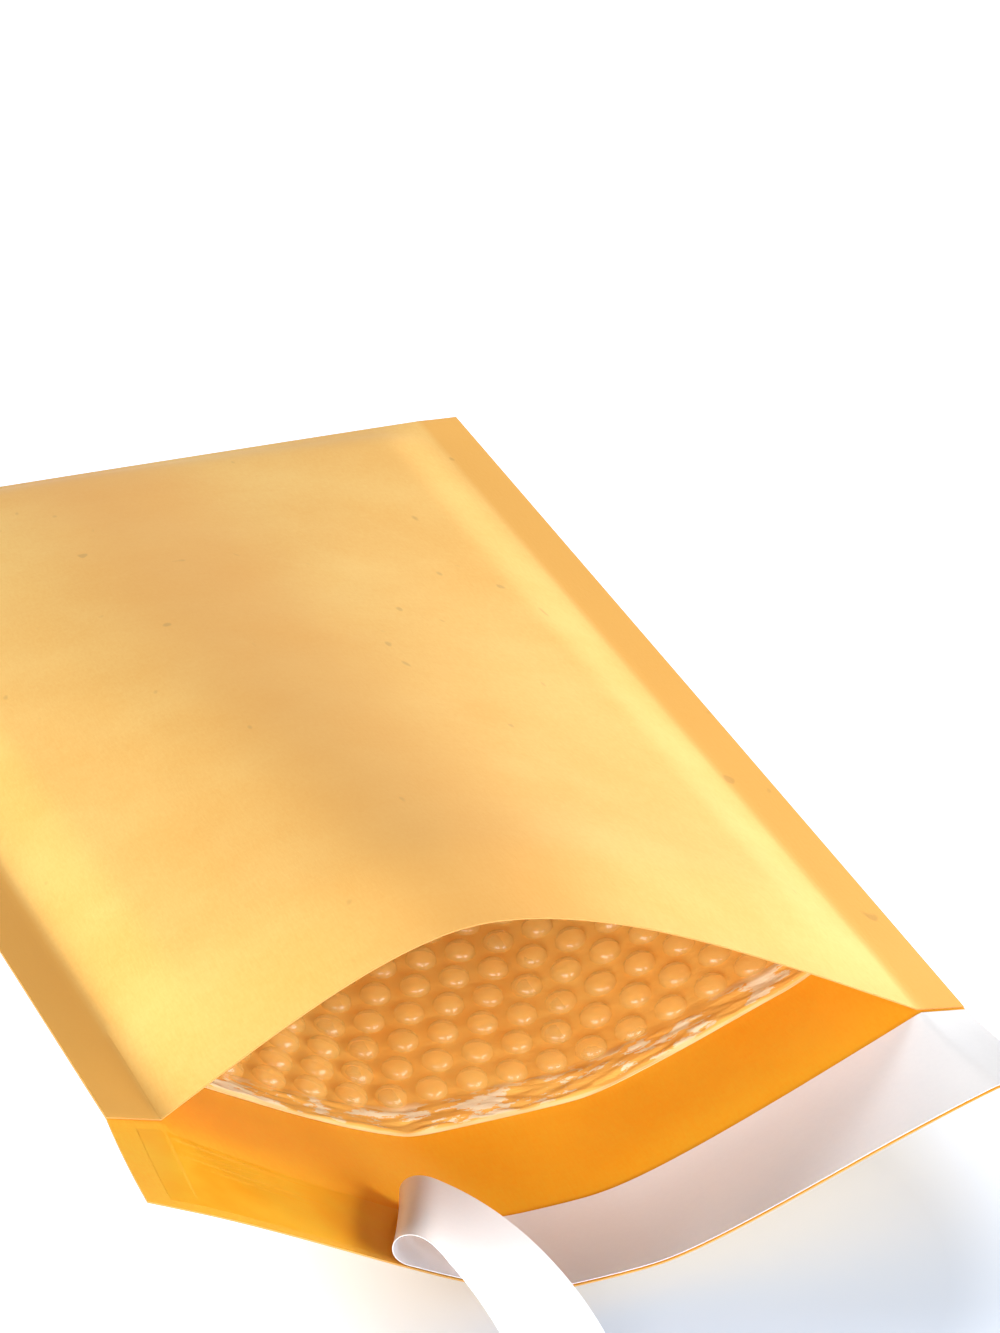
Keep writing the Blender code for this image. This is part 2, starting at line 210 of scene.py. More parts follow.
def gridSheet(name, across, along, placed):
    # a grid primitive whose points are then carried to their places
    deselectAll()
    bpy.ops.mesh.primitive_grid_add(x_subdivisions=across, y_subdivisions=along, size=2)
    piece = bpy.context.object
    piece.name = name
    piece.data.name = name
    for vertex in piece.data.vertices:
        column = round((vertex.co.x + 1) / 2 * across)
        row = round((vertex.co.y + 1) / 2 * along)
        vertex.co = placed(column, row)
    return piece


def thicken(piece, wall, offset, inner=0, rim=0):
    only(piece)
    shell = piece.modifiers.new("wall", "SOLIDIFY")
    shell.thickness = wall
    shell.offset = offset
    shell.material_offset = inner
    shell.material_offset_rim = rim
    bpy.ops.object.modifier_apply(modifier=shell.name)


def faceUp(piece):  # the grid's first face should look up
    if piece.data.polygons[0].normal.z < 0:
        only(piece)
        bpy.ops.object.mode_set(mode="EDIT")
        bpy.ops.mesh.select_all(action="SELECT")
        bpy.ops.mesh.flip_normals()
        bpy.ops.object.mode_set(mode="OBJECT")


def smooth(piece, angle):
    only(piece)
    bpy.ops.object.shade_smooth_by_angle(angle=math.radians(angle))


def coat(piece, materials):  # before a wall is added, so that its inner side finds its own material
    for material in materials:
        piece.data.materials.append(material)


def finishPiece(piece, slot, *nodes):
    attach(piece, "root")
    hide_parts(*nodes)


# Shader maths

class wire:  # a socket that takes part in Python expressions
    def __init__(self, board, socket):
        self.board = board
        self.socket = socket

    def maths(self, operation, first, second):
        return self.board.add("ShaderNodeMath", {"operation": operation}, {0: first, 1: second})

    def __add__(self, other):
        return self.maths("ADD", self, other)

    def __radd__(self, other):
        return self.maths("ADD", other, self)

    def __sub__(self, other):
        return self.maths("SUBTRACT", self, other)

    def __rsub__(self, other):
        return self.maths("SUBTRACT", other, self)

    def __mul__(self, other):
        return self.maths("MULTIPLY", self, other)

    def __rmul__(self, other):
        return self.maths("MULTIPLY", other, self)


class board:  # one material's node tree
    def __init__(self, name):
        self.material = bpy.data.materials.new(name)
        self.material.use_nodes = True
        self.tree = self.material.node_tree
        self.shader = self.tree.nodes["Principled BSDF"]

    def feed(self, target, value):
        if isinstance(value, wire):
            self.tree.links.new(value.socket, target)
        else:
            target.default_value = value

    def add(self, kind, settings, sockets, out=0):
        node = self.tree.nodes.new(kind)
        for key, value in settings.items():
            if key == "stops":
                while len(node.color_ramp.elements) < len(value):
                    node.color_ramp.elements.new(0.5)
                for element, (place, colour) in zip(node.color_ramp.elements, value):
                    element.position = place
                    element.color = colour
            else:
                setattr(node, key, value)
        for key, value in sockets.items():
            self.feed(node.inputs[key], value)
        return wire(self, node.outputs[out])

    def place(self, scale):  # object coordinates, stretched
        at = self.add("ShaderNodeTexCoord", {}, {}, out=3)
        return self.add("ShaderNodeMapping", {}, {"Vector": at, "Scale": scale})

    def noise(self, scale, size, detail=3.0, roughness=0.55):
        sockets = {"Vector": self.place(scale), "Scale": size, "Detail": detail, "Roughness": roughness}
        return self.add("ShaderNodeTexNoise", {"noise_dimensions": "3D"}, sockets)

    def ramp(self, value, *stops):
        grey = [(place, (tone, tone, tone, 1)) for place, tone in stops]
        return self.add("ShaderNodeValToRGB", {"stops": grey}, {"Fac": value})

    def blend(self, share, first, second):
        return self.add("ShaderNodeMix", {"data_type": "RGBA"}, {0: share, 6: first, 7: second}, out=2)

    def axis(self, which):  # the object's x, y or z, by its number 0, 1 or 2
        at = self.add("ShaderNodeTexCoord", {}, {}, out=3)
        return self.add("ShaderNodeSeparateXYZ", {}, {0: at}, out=which)

    def bump(self, height, strength, distance):
        sockets = {"Height": height, "Strength": strength, "Distance": distance}
        self.feed(self.shader.inputs["Normal"], self.add("ShaderNodeBump", {}, sockets))

    def surface(self, **sockets):
        for key, value in sockets.items():
            self.feed(self.shader.inputs[key.replace("_", " ")], value)


def shade(red, green, blue):  # a colour as the eye reads it, 0 to 255, made linear
    parts = [value / 255 for value in (red, green, blue)]
    return (*[p / 12.92 if p <= 0.04045 else ((p + 0.055) / 1.055) ** 2.4 for p in parts], 1.0)


kraft = dict(
    # painted shade: the seam bands are drawn darker than the panel
    seam=(246, 179, 76),
    outside=(255, 205, 114),
    outsideDeep=(250, 191, 96),
    inside=(255, 190, 44),
    insideDeep=(255, 174, 26),
    cut=(204, 150, 82),
    fleck=(186, 132, 66),
    crest=(246, 174, 80),    # painted shade: a deeper tone along the crest of the front panel
    crestPlace=-0.010,
    crestCore=0.008,
    crestReach=0.045,
    crestShare=0.5,
    crestLow=(0.5, 0.0),     # none of it on the underside: heights in centimetres, and shares
    crestHigh=(0.8, 1.0),
    centimetres=100,
    seamStart=mouth["chord"] / 2 - 0.001,    # the seam bands are a little darker from here out: painted shade
    seamTaper=(backHalfChord - mouth["chord"] / 2) / mailer["pocketLength"],
    seamSteepness=200,
    seamShare=0.85,
    fibreTint=(1.0, 0.93, 0.74, 1.0),
)


def kraftMaterial(name, light, deep, roughness, sheen, outer=False):
    paper = board(name)
    cloud = paper.noise((1, 1, 1), size=22.0, detail=4.0)
    fibres = paper.noise((1.0, 0.22, 1.0), size=1500.0, detail=2.0)
    crossing = paper.noise((0.3, 1.0, 1.0), size=1100.0, detail=2.0)
    tone = paper.ramp(cloud * 0.6 + fibres * 0.25 + crossing * 0.15, (0.38, 0.0), (0.62, 1.0))
    colour = paper.blend(tone, shade(*deep), shade(*light))
    if outer:
        # painted shade: the outside is drawn deeper in tone along the crest of the front panel
        offCrest = paper.axis(0) - kraft["crestPlace"]
        aside = paper.add("ShaderNodeMath", {"operation": "ABSOLUTE"}, {0: offCrest})
        reach = {0: aside, 1: kraft["crestCore"], 2: kraft["crestReach"], 3: kraft["crestShare"], 4: 0.0}
        band = paper.add("ShaderNodeMapRange", {"interpolation_type": "SMOOTHSTEP"}, reach)
        above = paper.ramp(paper.axis(2) * kraft["centimetres"], kraft["crestLow"], kraft["crestHigh"])
        colour = paper.blend(band * above, colour, shade(*kraft["crest"]))
        # painted shade: the seam bands are drawn darker than the panel, from seamStart outwards
        apart = paper.add("ShaderNodeMath", {"operation": "ABSOLUTE"}, {0: paper.axis(0)})
        beyond = apart - paper.axis(1) * kraft["seamTaper"] - kraft["seamStart"]
        seamShade = paper.ramp(beyond * kraft["seamSteepness"], (0.0, 0.0), (0.5, kraft["seamShare"]))
        colour = paper.blend(seamShade, colour, shade(*kraft["seam"]))
        specks = paper.ramp(paper.noise((1.0, 0.5, 1.0), size=210.0, detail=0.0), (0.83, 0.0), (0.88, 0.35))
        colour = paper.blend(specks, colour, shade(*kraft["fleck"]))
    paper.surface(Base_Color=colour, Roughness=roughness, Specular_IOR_Level=0.25)
    paper.surface(Sheen_Weight=sheen, Sheen_Roughness=0.45, Sheen_Tint=kraft["fibreTint"])
    paper.bump(fibres * 0.5 + crossing * 0.3 + cloud * 0.6, strength=0.22, distance=0.0004)
    return paper.material


film = dict(
    light=(255, 213, 120),
    deep=(255, 197, 98),
    bubble=(255, 222, 138),
    bubbleAlpha=0.32,
    # painted highlight: white streaks on the crinkled lip
    glintStreak=(255, 252, 228),
    edge=(255, 226, 176),
    edgeWidth=0.0005,
    lipScale=50,
    lipStops=((0.02, 0.0), (0.08, 1.0), (0.46, 1.0), (0.66, 0.0)),    # where the painted highlights, white streaks along the lip, may lie
    coatTint=(1.0, 0.98, 0.92, 1.0),
)


def filmMaterial():
    sheet = board("bubble film")
    cloud = sheet.noise((1, 1, 1), size=30.0)
    fine = sheet.noise((1, 1, 1), size=240.0)
    tone = sheet.ramp(cloud * 0.7 + fine * 0.3, (0.35, 0.0), (0.65, 1.0))
    colour = sheet.blend(tone, shade(*film["deep"]), shade(*film["light"]))
    along = sheet.axis(1) - lining["setback"]
    creases = sheet.noise((0.35, 1.3, 0.8), size=230.0, detail=5.0, roughness=0.7)
    patches = sheet.noise((1, 1, 1), size=45.0, detail=2.0)
    lip = sheet.ramp(along * film["lipScale"], *film["lipStops"])
    # painted highlights: white streaks where the lip's creases rise
    glints = sheet.ramp(creases * 0.7 + patches * 0.4, (0.56, 0.0), (0.575, 1.0))
    colour = sheet.blend(glints * lip, colour, shade(*film["glintStreak"]))
    width = film["edgeWidth"] * film["lipScale"]
    edge = sheet.ramp(along * film["lipScale"], (width, 0.8), (width + 0.02, 0.0))
    colour = sheet.blend(edge, colour, shade(*film["edge"]))
    crumple = sheet.noise((0.7, 1.2, 1.0), size=210.0, detail=4.0, roughness=0.6)
    sheet.surface(Base_Color=colour, Roughness=0.3, Specular_IOR_Level=0.6)
    sheet.surface(Coat_Weight=1.0, Coat_Roughness=0.08, Coat_Tint=film["coatTint"])
    sheet.bump(crumple * 0.5 + creases * lip * 0.9 + fine * 0.3, strength=0.55, distance=0.0010)
    return sheet.material


def bubbleMaterial():
    dome = board("clear bubble")
    fine = dome.noise((1, 1, 1), size=420.0)
    tone = dome.ramp(fine, (0.35, 0.0), (0.65, 1.0))
    dome.surface(Base_Color=dome.blend(tone, shade(*film["light"]), shade(*film["bubble"])))
    dome.surface(Alpha=film["bubbleAlpha"], Roughness=0.22, Specular_IOR_Level=0.8)
    dome.surface(Coat_Weight=1.0, Coat_Roughness=0.06)
    dome.bump(fine, strength=0.5, distance=0.0004)
    return dome.material


def linerMaterial():
    liner = board("liner paper")
    cloud = liner.noise((1, 1, 1), size=40.0)
    fine = liner.noise((1, 1, 1), size=900.0, detail=2.0)
    tone = liner.ramp(cloud * 0.7 + fine * 0.3, (0.35, 0.0), (0.65, 1.0))
    colour = liner.blend(tone, shade(*peel["linerDeep"]), shade(*peel["linerLight"]))
    liner.surface(Base_Color=colour, Roughness=0.42, Coat_Weight=0.15, Coat_Roughness=0.3)
    liner.bump(fine * 0.4 + cloud * 0.4, strength=0.12, distance=0.0003)
    return liner.material


def adhesiveMaterial():
    glue = board("clear adhesive")
    cloud = glue.noise((1, 1, 1), size=60.0)
    tone = glue.ramp(cloud, (0.35, 0.0), (0.65, 1.0))
    colour = glue.blend(tone, shade(*kraft["insideDeep"]), shade(*kraft["inside"]))
    glue.surface(Base_Color=colour, Roughness=0.42, Coat_Weight=0.12, Coat_Roughness=0.3)
    glue.bump(cloud, strength=0.15, distance=0.0004)
    return glue.material


# The paper: one blank that runs from the front panel's mouth edge, round the closed fold,
# along the back panel and out to the free edge of the flap
paperGrid = dict(across=112, band=4, front=72, fold=8, back=72, flap=16, foldRun=0.0009, wall=0.00036)


def paperPoint(column, row):
    grid = paperGrid
    foldStart = mailer["pocketLength"] - grid["foldRun"]
    plies = mailer["paper"]
    if row <= grid["front"]:
        share = row / grid["front"]
        place = "front"
    elif row <= grid["front"] + grid["fold"]:
        angle = math.pi * (row - grid["front"]) / grid["fold"]
        place = "fold"
    elif row <= grid["front"] + grid["fold"] + grid["back"]:
        y = foldStart * (1 - (row - grid["front"] - grid["fold"]) / grid["back"])
        place = "back"
    else:
        y = -mailer["flapLength"] * (row - grid["front"] - grid["fold"] - grid["back"]) / grid["flap"]
        place = "flap"

    last = 2 * grid["band"] + grid["across"]
    beyond = max(grid["band"] - column, column - (last - grid["band"]), 0) / grid["band"]
    side = -1 if column < last / 2 else 1
    u = max(-1.0, min(1.0, (column - grid["band"]) / grid["across"] * 2 - 1))

    def across(y, inner, outer):
        if not beyond:
            return u * halfChord(y), inner
        edge, level = seamEdge(side, y)
        return mix(side * halfChord(y), edge, beyond), mix(inner, level + outer, beyond)

    if place == "front":
        y = mix(frontEdge(u), foldStart, share)
        x, z = across(y, frontInside(u, y) + plies, plies)
    elif place == "fold":
        top = across(foldStart, frontInside(u, foldStart) + plies, plies)
        low = across(foldStart, backOutside(u, foldStart), -plies)
        y = foldStart + (mailer["pocketLength"] - foldStart) * math.sin(angle)
        x, z = top[0], mix(low[1], top[1], (1 + math.cos(angle)) / 2)
    elif place == "back":
        x, z = across(y, backOutside(u, y), -plies)
    else:
        x, z = across(y, backOutside(u, y), -plies)
        y = flapY(side if beyond else u, y)
    return x, y, z


def makePaper(materials):
    grid = paperGrid
    rows = grid["front"] + grid["fold"] + grid["back"] + grid["flap"]
    piece = gridSheet("paperEnvelope", grid["across"] + 2 * grid["band"], rows, paperPoint)
    faceUp(piece)
    coat(piece, materials)
    thicken(piece, grid["wall"], -1.0, inner=1, rim=2)
    smooth(piece, 40)
    finishPiece(piece, "kraft_paper", "kraft_envelope")
    print("paper envelope:", len(piece.data.polygons), "faces")


# The bubble film: a bag open at the mouth, its bubbles turned inwards
filmGrid = dict(across=144, lip=20, body=34, fold=4, pastLip=0.004, endGap=0.0016, foldRun=0.0006)
crumpling = dict(
    height=0.0005,
    rise=0.0012,
    fall=0.004,
    across=170,
    along=620,
    sway=1.3,
    swayAcross=90,
    broadAcross=60,
    broadAlong=240,
    broadShare=1.2,
    frontPlane=3.1,      # where each ply cuts the noise
    backPlane=12.7,
    broadPlane=4,
)
bubble = dict(
    height=0.0031,
    radiusShare=0.365,   # of the pitch
    roomShare=0.40,      # most of the free height that one bubble takes
    firstRow=0.58,       # of the pitch, past the lip
    lastGap=0.006,
    segments=12,
    rings=8,
    foot=0.02,
    squareness=2.5,      # the dome's profile
    fullness=0.55,
    unevenness=0.16,     # no two bubbles are quite alike
    lean=0.12,
    widest=0.985,
    heightSeed=(3.7, 2.9),
    leanSeed=(1.9, 4.1, 4.0),
    frontPlane=2.0,
    backPlane=7.0,
)


def filmOutside(u, y, front):
    if front:
        return frontInside(u, y) - mailer["clearance"]
    return backOutside(u, y) + mailer["paper"] + mailer["clearance"]


def crumpled(u, y, front):  # the sealed lip is crushed into low creases that run along the edge
    into = y - lining["setback"]
    form = crumpling
    there = ease(into / form["rise"]) * ease((lining["lip"] + form["fall"] - into) / form["fall"])
    x = u * halfChord(y)
    plane = form["frontPlane"] if front else form["backPlane"]
    sway = form["sway"] * math.sin(x * form["swayAcross"])
    creases = noise.noise(Vector((x * form["across"], y * form["along"] + sway, plane)))
    broadAt = x * form["broadAcross"], y * form["broadAlong"], plane + form["broadPlane"]
    broad = noise.noise(Vector(broadAt))
    return there * form["height"] * (1 + creases + form["broadShare"] * broad)


def filmHeight(u, y, front):
    lift = crumpled(u, y, front)
    return filmOutside(u, y, front) - lift if front else filmOutside(u, y, front) + lift


def filmRow(step):  # rows crowd together in the lip
    lipRows = filmGrid["lip"]
    start = lining["setback"]
    lipEnd = start + lining["lip"] + filmGrid["pastLip"]
    end = mailer["pocketLength"] - filmGrid["endGap"]
    if step <= lipRows:
        return mix(start, lipEnd, step / lipRows)
    return mix(lipEnd, end, (step - lipRows) / filmGrid["body"])


def filmPoint(column, row):
    u = -1 + 2 * column / filmGrid["across"]
    inset = 1 - 2 * mailer["clearance"] / backHalfChord
    half = filmGrid["lip"] + filmGrid["body"]
    whole = 2 * half + filmGrid["fold"]
    u *= inset
    if row <= half:
        y = filmRow(row)
        return u * halfChord(y), y, filmHeight(u, y, True)
    if row >= half + filmGrid["fold"]:
        y = filmRow(whole - row)
        return u * halfChord(y), y, filmHeight(u, y, False)
    y = filmRow(half)
    angle = math.pi * (row - half) / filmGrid["fold"]
    height = mix(filmHeight(u, y, False), filmHeight(u, y, True), (1 + math.cos(angle)) / 2)
    return u * halfChord(y), y + filmGrid["foldRun"] * math.sin(angle), height


def domeMesh():  # one bubble: a flattened sphere cut off at its foot
    deselectAll()
    bpy.ops.mesh.primitive_uv_sphere_add(segments=bubble["segments"], ring_count=bubble["rings"], radius=1)
    dome = bpy.context.object
    bpy.ops.object.mode_set(mode="EDIT")
    bpy.ops.mesh.select_all(action="SELECT")
    foot = (0, 0, -bubble["foot"])
    bpy.ops.mesh.bisect(plane_co=foot, plane_no=(0, 0, 1), use_fill=True, clear_inner=True)
    bpy.ops.object.mode_set(mode="OBJECT")
    points = np.array([v.co[:] for v in dome.data.vertices])
    radius = np.hypot(points[:, 0], points[:, 1])
    domed = np.maximum(0, 1 - radius ** bubble["squareness"]) ** bubble["fullness"]
    points[:, 2] = np.where(points[:, 2] > 0, domed, points[:, 2])
    faces = [tuple(p.vertices) for p in dome.data.polygons]
    bpy.data.objects.remove(dome)
    return points, faces


def bubbleSpots():
    rowStep = bubblePitch * math.sqrt(3) / 2
    y = lining["setback"] + lining["lip"] + bubblePitch * bubble["firstRow"]
    row = 0
    while y < mailer["pocketLength"] - bubble["lastGap"]:
        odd = row % 2
        for index in range(lining["bubblesAcross"] - (0 if odd else 1)):
            u = -1 + (2 * index + (1 if odd else 2)) / lining["bubblesAcross"]
            yield u, y, row, index
        y += rowStep
        row += 1


def surfaceFrame(u, y, front):
    step = 0.002
    chord = halfChord(y)
    here = Vector((u * chord, y, filmHeight(u, y, front)))
    aside = Vector(((u + step / chord) * chord, y, filmHeight(u + step / chord, y, front)))
    beyond = Vector((u * halfChord(y + step), y + step, filmHeight(u, y + step, front)))
    across = (aside - here).normalized()
    normal = across.cross(beyond - here).normalized()
    if (normal.z > 0) == front:
        normal = -normal
    return across, normal.cross(across), normal


def makeBubbles(material):
    unit, unitFaces = domeMesh()
    points, faces = [], []
    radius = bubblePitch * bubble["radiusShare"]
    for front in (False, True):
        for u, y, row, index in bubbleSpots():
            across, along, normal = surfaceFrame(u, y, front)
            free = filmOutside(u, y, True) - filmOutside(u, y, False) - 2 * lining["film"]
            height = min(bubble["height"], bubble["roomShare"] * free)
            plane = bubble["frontPlane"] if front else bubble["backPlane"]
            seedAcross, seedAlong = bubble["heightSeed"]
            own = noise.noise(Vector((index * seedAcross, row * seedAlong, plane)))
            height *= 1 + bubble["unevenness"] * own
            seedAcross, seedAlong, plane = bubble["leanSeed"]
            tilt = noise.noise(Vector((index * seedAcross, row * seedAlong, plane)))
            start = len(points)
            for x, v, z in unit:
                farY = y + v * radius
                chord = halfChord(farY)
                farU = max(-bubble["widest"], min(bubble["widest"], u + x * radius / chord))
                foot = Vector((farU * chord, farY, filmHeight(farU, farY, front)))
                leant = (across * own + along * tilt) * (bubble["lean"] * z)
                points.append(foot + normal * (lining["film"] + z * height) + leant * height)
            turned = (across.cross(along)).dot(normal) < 0
            for face in unitFaces:
                ring = [start + k for k in face]
                faces.append(ring[::-1] if turned else ring)
    mesh = bpy.data.meshes.new("bubbles")
    mesh.from_pydata(points, [], faces)
    piece = bpy.data.objects.new("bubbles", mesh)
    bpy.context.scene.collection.objects.link(piece)
    coat(piece, [material])
    return piece


def makeFilm(material, bubbleFinish):
    grid = filmGrid
    rows = 2 * (grid["lip"] + grid["body"]) + grid["fold"]
    piece = gridSheet("bubbleFilm", grid["across"], rows, filmPoint)
    faceUp(piece)
    coat(piece, [material])
    thicken(piece, lining["film"], -1.0)
    bubbles = makeBubbles(bubbleFinish)
    only(piece)
    bubbles.select_set(True)
    bpy.ops.object.join()
    smooth(piece, 60)
    finishPiece(piece, "bubble_film", "bubble_lining")
    print("bubble film:", len(piece.data.polygons), "faces")


# The adhesive and the release liner on the flap
peel = dict(
    adhesiveMargin=0.0035,
    adhesive=0.00002,
    adhesiveLift=0.00002,
    linerStart=0.0015,
    linerWidth=0.0361,
    liner=0.0002,
    linerWall=0.00014,    # drawn a little thinner than the solid
    linerMargin=0.0008,
    linerLight=(252, 251, 252),
    linerDeep=(246, 245, 247),
    place=-0.0397,
    slant=math.radians(28.5),
    curlLength=0.0235,
    curlTurn=math.radians(192.7),
    tailRadius=0.0505,
    tailTwistLength=0.0642,
    loopTwistLength=0.0538,
    step=0.00025,
    headingReach=0.004,   # how far off the liner's heading at the peel line is read
)
linerGrid = dict(across=14, stuck=90, curl=40, tail=36)


def flapWidth(y):
    return halfChord(y) + mailer["seamWidth"]


def flapPoint(x, y, lift):
    u = x / halfChord(y)
    if abs(u) <= 1:
        return Vector((x, flapY(u, y), backOutside(u, y) + mailer["paper"] + lift))
    side = 1 if u > 0 else -1
    edge, level = seamEdge(side, y)
    inner = backOutside(side, y) + mailer["paper"]
    share = (abs(x) - halfChord(y)) / (abs(edge) - halfChord(y))
    return Vector((x, flapY(side, y), mix(inner, level, share) + lift))


def makeAdhesive(material):
    across, along = 120, 10
    lift = peel["adhesiveLift"]

    def placed(column, row):
        y = mix(-peel["adhesiveMargin"], peel["adhesiveMargin"] - mailer["flapLength"], row / along)
        reach = flapWidth(y) - 2 * peel["adhesiveMargin"]
        return flapPoint(mix(-reach, reach, column / across), y, lift)

    piece = gridSheet("adhesiveStrip", across, along, placed)
    faceUp(piece)
    coat(piece, [material])
    thicken(piece, peel["adhesive"], 1.0)
    smooth(piece, 40)
    finishPiece(piece, "hot_melt", "adhesive_strip")
    print("adhesive strip:", len(piece.data.polygons), "faces")


def peelX(y):
    return peel["place"] + (y + peel["linerStart"] + peel["linerWidth"] / 2) * math.tan(peel["slant"])


def flapRun(y):
    steps = 24
    near = flapWidth(y) - peel["linerMargin"]
    places = [flapPoint(mix(peelX(y), -near, k / steps), y, 0.0) for k in range(steps + 1)]
    return sum((b - a).length for a, b in zip(places, places[1:]))


def peeledLine(outward, upward, axis, slant):
    straight = math.sqrt(1 - slant * slant)
    longest = flapRun(-peel["linerStart"]) * straight + peel["linerWidth"]
    place = Vector((0.0, 0.0, 0.0))
    line = [(place.copy(), axis.copy())]
    for step in range(math.ceil(longest / peel["step"])):
        gone = step * peel["step"]
        bend, twist = 1 / peel["tailRadius"], 1 / peel["tailTwistLength"]
        if gone < peel["curlLength"]:
            share = gone / peel["curlLength"]
            swell = math.sin(math.pi * share)
            bend = peel["curlTurn"] * math.pi / 2 / peel["curlLength"] * swell
            twist = twist * share + swell / peel["loopTwistLength"]
        turn = Matrix.Rotation(bend * peel["step"], 3, outward.cross(upward))
        outward, upward = turn @ outward, turn @ upward
        turn = Matrix.Rotation(twist * peel["step"], 3, axis * slant + outward * straight)
        outward, upward, axis = turn @ outward, turn @ upward, turn @ axis
        place = place + (outward + axis * (slant / straight)) * peel["step"]
        line.append((place.copy(), axis.copy()))
    return line


def onLine(line, gone):
    step = min(len(line) - 2, int(gone / peel["step"]))
    share = gone / peel["step"] - step
    return [a.lerp(b, share) for a, b in zip(line[step], line[step + 1])]


def makeLiner(material):
    nearY = -peel["linerStart"]
    farY = nearY - peel["linerWidth"]
    middleY = (nearY + farY) / 2
    lift = peel["adhesiveLift"] + peel["adhesive"] + mailer["clearance"] + peel["liner"] / 2
    middle = flapPoint(peelX(middleY), middleY, lift)
    axis = (flapPoint(peelX(farY), farY, lift) - flapPoint(peelX(nearY), nearY, lift)).normalized()
    along = (flapPoint(middle.x - peel["headingReach"], middleY, lift) - middle).normalized()
    outward = (along - axis * along.dot(axis)).normalized()
    upward = outward.cross(axis)
    if upward.z < 0:
        upward = -upward
    slant = along.dot(axis)
    straight = math.sqrt(1 - slant * slant)
    line = peeledLine(outward, upward, axis, slant)
    grid = linerGrid

    def placed(column, row):
        y = mix(nearY, farY, column / grid["across"])
        if row <= grid["stuck"]:
            farEnd = flapWidth(y) - peel["linerMargin"]
            return flapPoint(mix(farEnd, peelX(y), row / grid["stuck"]), y, lift)
        foot = flapPoint(peelX(y), y, lift)
        offset = foot - middle
        base = offset.dot(axis)
        error = offset - axis * base
        curl = peel["curlLength"] / straight
        run = curl * (row - grid["stuck"]) / grid["curl"]
        if row > grid["stuck"] + grid["curl"]:
            share = (row - grid["stuck"] - grid["curl"]) / grid["tail"]
            run = curl + (flapRun(y) - curl) * share
        place, across = onLine(line, run * straight)
        return middle + place + across * base + error * max(0.0, 1 - run / curl)

    piece = gridSheet("releaseLiner", grid["across"], grid["stuck"] + grid["curl"] + grid["tail"], placed)
    faceUp(piece)
    coat(piece, [material])
    thicken(piece, peel["linerWall"], 0.0)
    smooth(piece, 40)
    finishPiece(piece, "liner_paper", "release_liner")
    print("release liner:", len(piece.data.polygons), "faces")


# Floor, lamps and camera
studio = dict(
    floorSize=8.0,
    floorDrop=0.0002,
    floorColour=(0.60, 0.67, 0.78, 1.0),
    middle=(0.03, -0.03, 0.0),
    liftNear=0.0,          # light added for the camera and reflections, so that the floor reads white; none of it near the flap, a painted shadow there
    liftFar=0.75,
    nearEdge=0.06,
    farEdge=0.12,
    liftHorizon=1.0,       # from a metre out to the horizon
    liftColour=(0.90, 0.95, 1.0, 1.0),
    worldStrength=0.24,
)
lamps = [
    dict(name="lampLeft", place=(-1.30, 0.25, 0.21), size=(1.1, 0.30), power=15.0),
    dict(name="lampRight", place=(1.30, 0.35, 0.21), size=(1.1, 0.30), power=16.0),
    dict(name="lampFrontLeft", place=(-0.72, -1.02, 0.48), size=(1.1, 0.60), power=18.0),
    dict(name="lampFrontRight", place=(0.72, -1.02, 0.48), size=(1.1, 0.60), power=18.5),
    dict(name="lampBack", place=(0.10, 1.30, 1.20), size=(1.0, 0.5), power=7.0),
]
aim = Vector((0.0, 0.15, 0.03))
view = dict(
    target=(0.0804636, 0.23034, 0.0),
    distance=1.1147168,
    height=0.5748906,      # radians above the floor
    around=-0.4096444,
    roll=0.049557,
    focalPixels=3698.188,
    imageHeight=1333,
    sensor=36.0,
    clip=(0.01, 50.0),
)


def makeFloor():
    deselectAll()
    bpy.ops.mesh.primitive_plane_add(size=studio["floorSize"], location=(0, 0, -studio["floorDrop"]))
    floor = bpy.context.object
    floor.name = "floor"
    ground = board("floor white")
    ground.surface(Base_Color=studio["floorColour"], Roughness=0.9, Specular_IOR_Level=0.0)
    direct = ground.add("ShaderNodeLightPath", {}, {}, out=0)
    reflected = ground.add("ShaderNodeLightPath", {}, {}, out=3)
    seen = ground.add("ShaderNodeMath", {"operation": "MAXIMUM"}, {0: direct, 1: reflected})
    middle = studio["middle"]
    at = ground.add("ShaderNodeTexCoord", {}, {}, out=3)
    apart = ground.add("ShaderNodeVectorMath", {"operation": "DISTANCE"}, {0: at, 1: middle}, out=1)
    # the floor near the flap is darker: a real shadow, deepened by painted shadow as the lift falls to
    # nothing there
    near, far = (studio["nearEdge"], studio["liftNear"]), (studio["farEdge"], studio["liftFar"])
    lift = ground.ramp(apart, near, far, (1.0, studio["liftHorizon"]))
    glow = ground.add("ShaderNodeEmission", {}, {"Color": studio["liftColour"], "Strength": seen * lift})
    both = ground.add("ShaderNodeAddShader", {}, {0: wire(ground, ground.shader.outputs[0]), 1: glow})
    ground.feed(ground.tree.nodes["Material Output"].inputs["Surface"], both)
    floor.data.materials.append(ground.material)


def makeLamps():
    for lamp in lamps:
        data = bpy.data.lights.new(lamp["name"], "AREA")
        data.shape = "RECTANGLE"
        data.size, data.size_y = lamp["size"]
        data.energy = lamp["power"]
        item = bpy.data.objects.new(lamp["name"], data)
        bpy.context.scene.collection.objects.link(item)
        item.location = lamp["place"]
        item.rotation_euler = (aim - Vector(lamp["place"])).to_track_quat("-Z", "Y").to_euler()


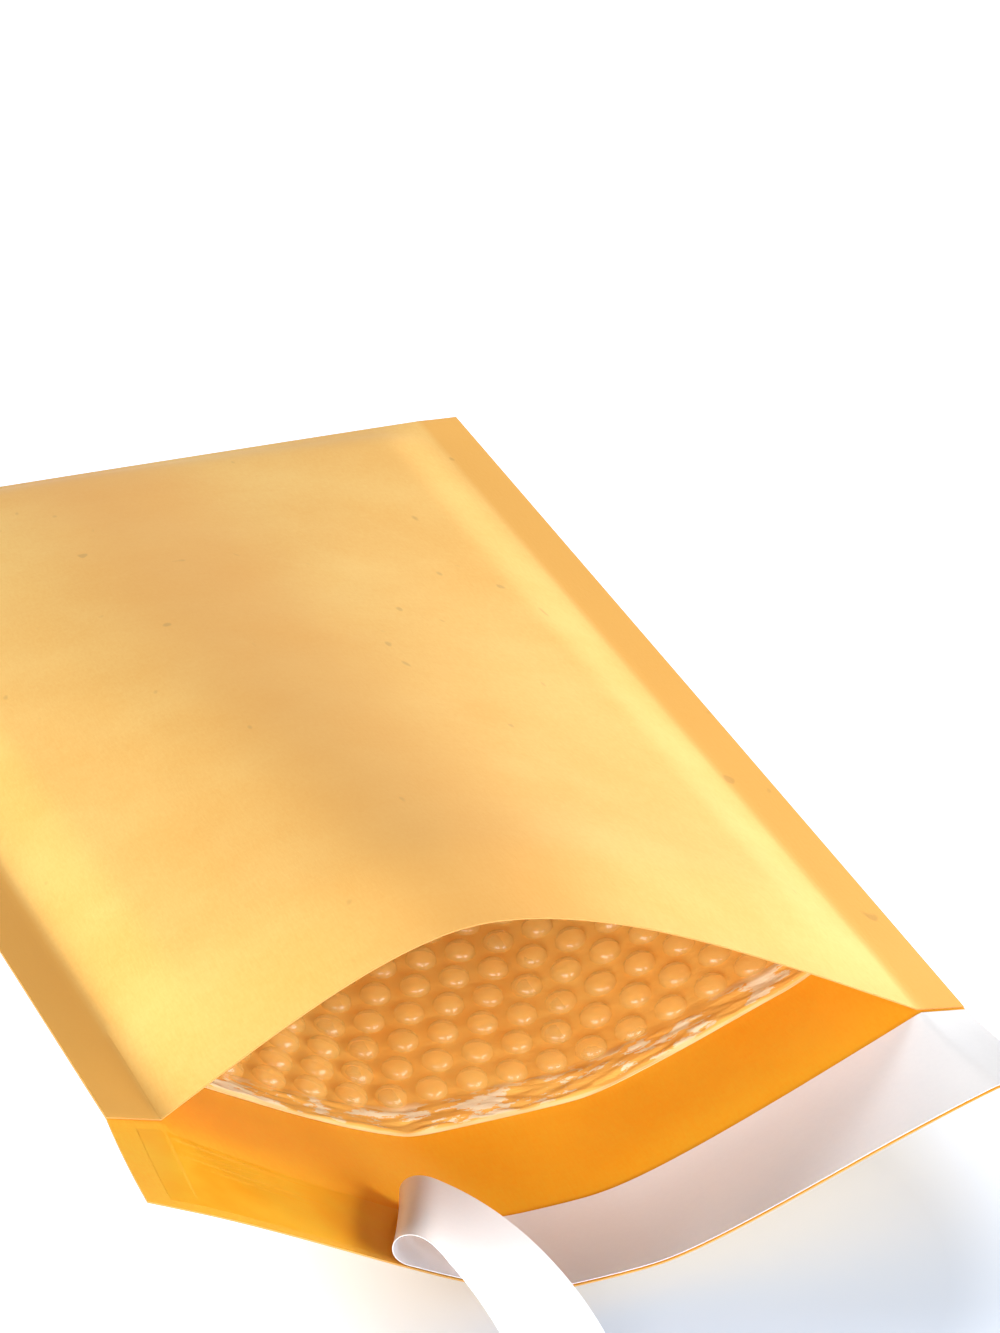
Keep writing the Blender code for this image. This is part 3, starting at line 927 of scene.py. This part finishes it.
def makeWorld():
    world = bpy.data.worlds.new("studio")
    world.use_nodes = True
    bpy.context.scene.world = world
    nodes, links = world.node_tree.nodes, world.node_tree.links
    nodes.clear()
    path = nodes.new("ShaderNodeLightPath")
    light = nodes.new("ShaderNodeBackground")
    light.inputs["Strength"].default_value = studio["worldStrength"]
    white = nodes.new("ShaderNodeBackground")
    either = nodes.new("ShaderNodeMixShader")
    output = nodes.new("ShaderNodeOutputWorld")
    links.new(path.outputs["Is Camera Ray"], either.inputs[0])
    links.new(light.outputs[0], either.inputs[1])
    links.new(white.outputs[0], either.inputs[2])
    links.new(either.outputs[0], output.inputs["Surface"])


def makeCamera():
    tilt, around = view["height"], view["around"]
    back = Vector((math.sin(around) * math.cos(tilt), -math.cos(around) * math.cos(tilt), math.sin(tilt)))
    right = (-back).cross(Vector((0, 0, 1))).normalized()
    up = right.cross(-back)
    spin = Matrix.Rotation(-view["roll"], 3, -back)
    right, up = spin @ right, spin @ up
    data = bpy.data.cameras.new("camera")
    data.sensor_width = view["sensor"]
    data.lens = view["focalPixels"] / view["imageHeight"] * view["sensor"]
    data.clip_start, data.clip_end = view["clip"]
    camera = bpy.data.objects.new("camera", data)
    bpy.context.scene.collection.objects.link(camera)
    turn = Matrix((right, up, back)).transposed().to_4x4()
    camera.matrix_world = Matrix.Translation(Vector(view["target"]) + back * view["distance"]) @ turn
    bpy.context.scene.camera = camera


kraftSides = [
    kraftMaterial("kraft outside", kraft["outside"], kraft["outsideDeep"], 0.66, sheen=0.10, outer=True),
    kraftMaterial("kraft inside", kraft["inside"], kraft["insideDeep"], 0.5, sheen=0.10),
    kraftMaterial("kraft cut edge", kraft["cut"], kraft["cut"], 0.8, sheen=0.0),
]
makePaper(kraftSides)
makeFilm(filmMaterial(), bubbleFinish=bubbleMaterial())
makeAdhesive(adhesiveMaterial())
makeLiner(linerMaterial())
makeFloor()
makeLamps()
makeWorld()
makeCamera()
bpy.context.scene.view_settings.view_transform = "Standard"
